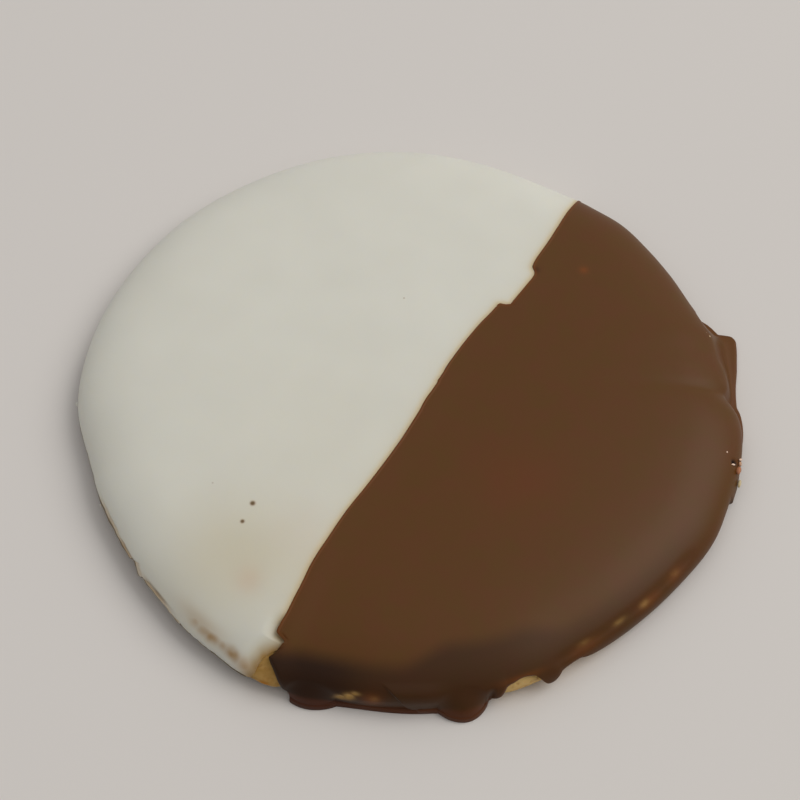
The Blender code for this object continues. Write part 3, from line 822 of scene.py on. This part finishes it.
def buildChocolateIcing(material):
    shares = columnShares(chocolateIcing["columns"], 0.8)
    ends = chocolateIcing["ends"]
    grid = icingGrid(1, chocolateLine, chocolateEdge, ends, chocolateIcing["rows"], shares)
    spots, nearEdge, tips = grid
    angle, run = anglesOf(spots, 1)
    degrees = np.degrees(angle)
    base = cakeSurface(angle, run)
    normals = cakeNormals(angle, run)
    past = np.maximum(pastLine(spots, chocolateLine), 0)

    middle = smoothStep((rimRun - run) / chocolateIcing["shoulder"])
    full = fullThickness(chocolateIcing, middle)
    full = full + chocolateIcing["lipHeight"] * smoothStep(1 - past / chocolateIcing["lipWidth"])
    full = full + 0.00006 * swells(base, 0.014, 51) + 0.000015 * swells(base, 0.005, 52)
    # shallow groove just above the rim's edge, where the icing is thin
    wayIn, halfWidth, depth = chocolateIcing["groove"]
    groove = between(angle, -33, -6, 4) * np.exp(-(((run - rimRun + wayIn) / halfWidth) ** 2))
    full = full - depth * groove
    underHeight = np.maximum(0.00004, whiteBelow(spots, middle) + 0.00005)
    body = np.maximum(full - underHeight, 0.00024)
    edgeShape = np.minimum(
        rounded(past, chocolateIcing["lineRounding"]), rounded(nearEdge, chocolateIcing["edgeRounding"])
    )
    topHeight = underHeight + 0.00006 + (body - 0.00006) * edgeShape
    top = base + normals * topHeight[..., None]
    under = base + normals * underHeight[..., None]

    hanging = chunkReach(degrees)
    for centre, halfWidth, out in chocolateIcing["hanging"]:
        hanging = np.maximum(hanging, out * lobe(degrees, centre, halfWidth))
    outward = np.stack([np.cos(angle), np.sin(angle), 0 * angle], -1)
    lower = smoothStep(1 - nearEdge / chocolateIcing["hangingHeight"])
    top = top + outward * (hanging * lower)[..., None]
    under = under + outward * (hanging * (nearEdge == 0))[..., None]
    top, settled, toeWay, gap = settleOnTray(top, angle, run, past)
    flat = settled * (gap < 0.0016)
    under[..., 2] = under[..., 2] * (1 - flat) + 0.00005 * flat
    onTray = (settled > 0.5) & (nearEdge == 0)
    under = np.where(onTray[..., None], top, under)

    # relief that the toe keeps: the seam of a second lobe, bare patches and the chip's hole
    seamDegrees, slant, seamStep = chocolateIcing["seam"]
    seam = seamDegrees + (run - rimRun + 0.0025) / 0.0025 * slant
    lobeOver = smoothStep((degrees - seam) / 0.45 + 0.5) * smoothStep((-52 - degrees) / 6)
    relief = seamStep * lobeOver * smoothStep((run - rimRun + 0.0036) / 0.0022)
    relief = relief * smoothStep(nearEdge / 0.0010)
    show, caramel = 0 * angle, 0 * angle
    for spot, strength in chocolateIcing["showing"]:
        show = np.maximum(show, strength * rimSpot(angle, run, spot))
    for spot, strength in chocolateIcing["caramel"]:
        caramel = np.maximum(caramel, strength * rimSpot(angle, run, spot))
    crumbly = 0.8 + 0.35 * swells(base, 0.0006, 53)
    relief = relief - 0.0003 * smoothStep((show * crumbly - 0.25) / 0.4)
    chipSpot, chipDepth = chocolateIcing["chip"]
    hole = rimSpot(angle, run, chipSpot)
    relief = relief - chipDepth * hole
    top = top + gridNormals(top, normals) * relief[..., None]
    top[..., 2] = np.maximum(top[..., 2], 0.00008)
    under[..., 2] = np.clip(under[..., 2], 0.00004, None)
    rings, back = icingRings(top, under, chocolateIcing["underColumns"])

    onTongue = settled * (degrees > 0) * smoothStep((toeWay - 0.62) / 0.2)
    onWhite = smoothStep((spots[..., 1] + 0.0515) / 0.0015)
    thinWidth, byWhite, atEdge, tongueShare = chocolateIcing["thinEdge"]
    thinEdge = byWhite * onWhite * np.exp(-((past / thinWidth) ** 2))
    thinEdge = thinEdge + atEdge * np.exp(-((nearEdge / thinWidth) ** 2)) * (1 - settled)
    thinEdge = np.maximum(thinEdge, tongueShare * onTongue)
    thinEdge = np.maximum(thinEdge, caramel)
    thinEdge = np.maximum(thinEdge, flatTint(spots, chocolateIcing["goldenSpots"]))
    ruddy = flatTint(spots, chocolateIcing["ruddySpots"])
    ruddy = ruddy + 0.30 * settled * (degrees < 0) * smoothStep((toeWay - 0.5) / 0.3)
    # painted shade on the front slope, strongest where it faces away from the light
    strength = curveThrough(chocolateIcing["paintedFrontShade"], degrees)
    higher = chocolateIcing["paintedFrontShadeHigher"] * between(angle, -52, -40, 10)
    paintedFrontShade = strength * smoothStep((run - rimRun + chocolateIcing["paintedFrontShadeStart"] + higher) / 0.0036)
    # painted shade under the broken chunk and in the chip's hole
    chunkShade = 0.60 * smoothStep(chunkReach(degrees) / 0.0004) * lower
    paintedHoleShade = np.maximum(smoothStep(hole * 1.6), chunkShade)
    marks = {"cakeShow": show * crumbly, "thinEdge": thinEdge, "ruddy": ruddy, "paintedHoleShade": paintedHoleShade}
    paintedFrontShade = paintedFrontShade * (1 - np.clip(caramel + show, 0, 1))
    marks["paintedFrontShade"] = np.maximum(paintedFrontShade, flatTint(spots, chocolateIcing["darkSpots"]))
    marks = onTopOnly(marks, back)
    piece = skinMesh("chocolateIcing", [(rings, tipPoles(tips, 1), marks)], material)
    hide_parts("chocolate_icing")
    return piece


# Round of cake
cakeRound = {
    "coarseRuns": (0.004, 0.012, 0.022, 0.032, 0.040, 0.046),
    "fineStart": 0.0485,
    "fineStep": 0.00024,
    "pastFoot": 0.0020,  # fine rows go on this far under the foot
    "faceRows": 42,
    # crowding of the columns: fine where bare cake shows at the front, coarse elsewhere
    "frontAngles": (-155, -25),
    "frontColumns": 500,
    "restColumns": 270,
    "poreSpacing": 0.0011,
    "poreDepth": 0.00018,
    "facePoreSpacing": 0.0019,
    "facePoreDepth": 0.00025,
    "lumpDepth": 0.00007,
    # bare cake between the icings swells out a little: (degrees, way past the rim line, half sizes)
    "wedge": (-83.7, 0.0006, 3.0, 0.0020),
    "wedgeSwell": 0.00015,
    "wedgeSpot": (-83.6, 0.0000, 0.8, 0.0005),
    # a painted glint along the bottom of the bare cake
    "wedgeGlint": (-83.4, 0.00075, 1.6, 0.00022),
}


def cakeAngles():
    low, high = cakeRound["frontAngles"]
    front = np.linspace(low, high, cakeRound["frontColumns"], endpoint=False)
    rest = np.linspace(high, low + 360, cakeRound["restColumns"], endpoint=False)
    return np.radians(np.concatenate([front, rest]))


def buildCake(material):
    last = footRun + cakeRound["pastFoot"]
    fine = np.arange(cakeRound["fineStart"], last, cakeRound["fineStep"])
    face = last + (sectionRun[-1] - 0.0004 - last) * np.linspace(0, 1, cakeRound["faceRows"])[1:]
    runs = np.concatenate([cakeRound["coarseRuns"], fine, face])
    run, angle = np.meshgrid(runs, cakeAngles(), indexing="ij")
    base = cakeSurface(angle, run)
    normals = cakeNormals(angle, run)
    onFace = smoothStep((run - footRun + 0.0006) / 0.0012)
    onSide = smoothStep((run - 0.050) / 0.002) * (1 - onFace)
    pores = smoothStep((0.36 - poreDistance(base, cakeRound["poreSpacing"], 61)) / 0.30) * onSide
    facePores = smoothStep((0.34 - poreDistance(base, cakeRound["facePoreSpacing"], 64)) / 0.2) * onFace
    lumps = swells(base, 0.0016, 62) + 0.5 * swells(base, 0.0007, 63)
    inward = cakeRound["poreDepth"] * pores + cakeRound["facePoreDepth"] * facePores
    inward = inward + cakeRound["lumpDepth"] * (1 + lumps) * onSide
    inward = inward - cakeRound["wedgeSwell"] * rimSpot(angle, run, cakeRound["wedge"])
    rings = base - normals * inward[..., None]
    rings[..., 2] = np.maximum(rings[..., 2], 0)
    poles = np.array([[0, 0, sectionHeight[0]], [0, 0, 0]])

    rimRing = np.exp(-(((run - footRun + 0.0004) / 0.0022) ** 2))
    patchy = 0.5 + 0.5 * swells(base, 0.007, 65)
    baked = 0.75 * onFace * (0.75 + 0.25 * patchy) + 0.55 * rimRing * patchy
    baked = baked + 1.2 * rimSpot(angle, run, cakeRound["wedgeSpot"])
    pale = np.exp(-(((run - rimRun - 0.0011) / 0.0008) ** 2)) * (0.6 + 0.4 * swells(base, 0.002, 66))
    pale = pale + 0.8 * between(angle, -45, -37, 2) + 0.8 * between(angle, -35, -26, 2)
    # a painted glint along the bottom of the bare cake
    pale = pale + 1.5 * rimSpot(angle, run, cakeRound["wedgeGlint"])
    # painted shadow low on the side, where the cake stands on the tray
    paintedFootShadow = 0.95 * between(angle, -180, -88, 4) * smoothStep((run - rimRun + 0.0008) / 0.0006)
    paintedFootShadow = paintedFootShadow + 0.9 * between(angle, -90, -50, 4) * smoothStep((run - rimRun - 0.0010) / 0.0006)
    # the pores' colour is painted shade
    marks = {"paintedPoreShade": 0.45 * pores + 0.5 * facePores, "baked": baked, "paleEdgeAndGlint": pale * (1 - onFace)}
    marks["paintedFootShadow"] = paintedFootShadow * (1 - onFace)
    marks = {key: np.clip(value, 0, 1) for key, value in marks.items()}
    piece = skinMesh("cakeRound", [(rings, poles, marks)], material)
    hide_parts("cake_base")
    return piece


# Bits that broke off at the chip and stuck, and two crumbs by the tongue
looseBits = {
    # degrees, way past the rim line, lift above the cake, half length, width and height (all in
    # millimetres), heading from along the rim, rusty, olive tan
    "bits": (
        (17.5, -1.2, 1.05, 0.60, 0.20, 0.16, -50, 0.1, 0.0),  # pale shard
        (15.8, -2.2, 0.80, 0.48, 0.16, 0.12, -62, 0.0, 0.0),  # bright edge under the hole
        (17.3, -3.9, 0.85, 0.20, 0.17, 0.13, 0, 0.0, 0.0),
        (15.5, -1.0, 1.00, 1.00, 0.50, 0.40, -8, 0.9, 0.0),
        (16.8, -1.0, 1.00, 0.45, 0.34, 0.26, 0, 0.75, 0.2),
        (13.9, 0.0, 1.35, 0.75, 0.38, 0.32, 12, 0.0, 0.9),
        (42.9, -3.0, 0.85, 0.22, 0.15, 0.12, 30, 0.3, 0.4),
        (43.6, -3.4, 0.85, 0.15, 0.11, 0.09, 0, 0.3, 0.4),
    ),
    "rings": 9,
    "around": 14,
}
# Beads of white that set at the rim: the same numbers, without the two tones
whiteBeads = ((-151.0, 0.1, 0.85, 0.62, 0.40, 0.45, 85), (-129.2, 0.0, 0.75, 0.30, 0.20, 0.20, 20))


# A pebble on the rim: a sphere with its radius swollen at random, stretched and laid on the surface
def pebble(numbers, seed):
    degrees, past, lift, long, wide, tall, heading = numbers[:7]
    rise = np.linspace(-math.pi / 2, math.pi / 2, looseBits["rings"] + 2)[1:-1, None]
    around = np.linspace(0, 2 * math.pi, looseBits["around"], endpoint=False)[None, :]
    flat = np.cos(rise) * np.ones_like(around)
    ball = np.stack([flat * np.cos(around), flat * np.sin(around), np.sin(rise) + 0 * around], -1)
    ball = ball * (1 + 0.22 * swells(ball, 0.9, seed))[..., None]
    ends = np.array([[0, 0, -1.0], [0, 0, 1.0]])
    turn, angle = math.radians(heading), np.array(math.radians(degrees))
    run = np.array(rimRun + past / 1000)
    normal = cakeNormals(angle, run)
    sideways = np.array([-math.sin(angle), math.cos(angle), 0])
    upward = np.cross(normal, sideways)
    longWay = sideways * math.cos(turn) + upward * math.sin(turn)
    axes = np.stack([longWay * long, np.cross(normal, longWay) * wide, normal * tall]) / 1000
    middle = cakeSurface(angle, run) + normal * lift / 1000
    return middle + ball @ axes, middle + ends @ axes


def buildBits(crumbMaterial, whiteMaterial):
    skins = []
    for seed, bit in enumerate(looseBits["bits"]):
        skins.append((*pebble(bit, 80 + seed), {"rusty": bit[7], "oliveTan": bit[8]}))
    bits = skinMesh("chipBits", skins, crumbMaterial)
    plain = {"cakeShow": 0.0, "yellowed": 0.1, "tanRim": 0.0, "blush": 0.0, "darkLine": 0.0}
    beads = [(*pebble(bead, 95 + seed), plain) for seed, bead in enumerate(whiteBeads)]
    skinMesh("whiteBeads", beads, whiteMaterial)


crumb = cakeCrumb()
fondant = whiteFondant()
chocolate = chocolateFondant()
print("materials made")
buildCake(crumb)
print("cake built")
buildWhiteIcing(fondant)
print("white icing built")
buildChocolateIcing(chocolate)
print("chocolate icing built")
buildBits(brokenCrumb(), fondant)
print("loose bits laid")

# Studio: plain pale floor under a soft bright sky, and one large soft light from the back right
studio = {
    "floorColour": "#E0DCD9",
    "floorSize": 3.0,
    "skyColour": "#FFFDFA",
    "skyBright": (75, 68),  # degrees round from +X and degrees up of its brightest part
    "skyStrength": (0.18, 0.67),  # away from that part, and there
    "light": {"around": 40, "up": 48, "distance": 2.0, "width": 1.6, "power": 15.0, "colour": "#FFFCF7"},
}
camera = {
    "azimuth": 29.5,
    "elevation": 56.0,
    "distance": 0.3378,
    "fieldOfView": 24.0,
    "aim": (-0.001467, 0.001501, 0.003),
}


# Direction from degrees round and degrees up
def towards(around, up):
    turn, rise = math.radians(around), math.radians(up)
    return (math.cos(turn) * math.cos(rise), math.sin(turn) * math.cos(rise), math.sin(rise))


def lookAt(thing, target):
    offset = np.array(target) - np.array(thing.location)
    horizontal = math.hypot(offset[0], offset[1])
    turn = math.atan2(offset[1], offset[0]) - math.pi / 2
    thing.rotation_euler = (math.atan2(horizontal, -offset[2]), 0, turn)


def buildFloor():
    half = studio["floorSize"] / 2
    mesh = bpy.data.meshes.new("floor")
    corners = [(-half, -half, 0), (half, -half, 0), (half, half, 0), (-half, half, 0)]
    mesh.from_pydata(corners, [], [(0, 1, 2, 3)])
    floor = bpy.data.objects.new("floor", mesh)
    bpy.context.scene.collection.objects.link(floor)
    settings = {"Base Color": linear(studio["floorColour"]), "Roughness": 0.95, "Specular IOR Level": 0.2}
    mesh.materials.append(newMaterial("matPaper", settings)[0])


def buildLight():
    settings = studio["light"]
    light = bpy.data.lights.new("softLight", "AREA")
    light.shape = "DISK"
    light.size = settings["width"]
    light.energy = settings["power"]
    light.color = linear(settings["colour"])[:3]
    lamp = bpy.data.objects.new("softLight", light)
    lamp.location = [settings["distance"] * step for step in towards(settings["around"], settings["up"])]
    lookAt(lamp, (0, 0, 0))
    bpy.context.scene.collection.objects.link(lamp)


def buildSky():
    world = bpy.data.worlds.new("sky")
    world.use_nodes = True
    tree = world.node_tree
    back = tree.nodes["Background"]
    back.inputs["Color"].default_value = linear(studio["skyColour"])
    place = addNode(tree, "ShaderNodeTexCoord").outputs["Generated"]
    settings = {"operation": "DOT_PRODUCT", 1: towards(*studio["skyBright"])}
    facing = addNode(tree, "ShaderNodeVectorMath", settings, {0: place}).outputs["Value"]
    low, high = studio["skyStrength"]
    ramp = {"interpolation_type": "SMOOTHSTEP", "From Min": -0.1, "From Max": 1.0}
    ramp.update({"To Min": low, "To Max": high})
    glow = addNode(tree, "ShaderNodeMapRange", ramp, {"Value": facing})
    tree.links.new(glow.outputs[0], back.inputs["Strength"])
    bpy.context.scene.world = world
    bpy.context.scene.view_settings.view_transform = "Standard"


def buildCamera():
    lens = bpy.data.cameras.new("camera")
    lens.angle = math.radians(camera["fieldOfView"])
    lens.clip_start = 0.01
    eye = bpy.data.objects.new("camera", lens)
    away = towards(camera["azimuth"] - 90, camera["elevation"])
    eye.location = [aim + camera["distance"] * step for aim, step in zip(camera["aim"], away)]
    lookAt(eye, camera["aim"])
    bpy.context.scene.collection.objects.link(eye)
    bpy.context.scene.camera = eye


buildFloor()
buildLight()
buildSky()
buildCamera()
print("studio and camera set")
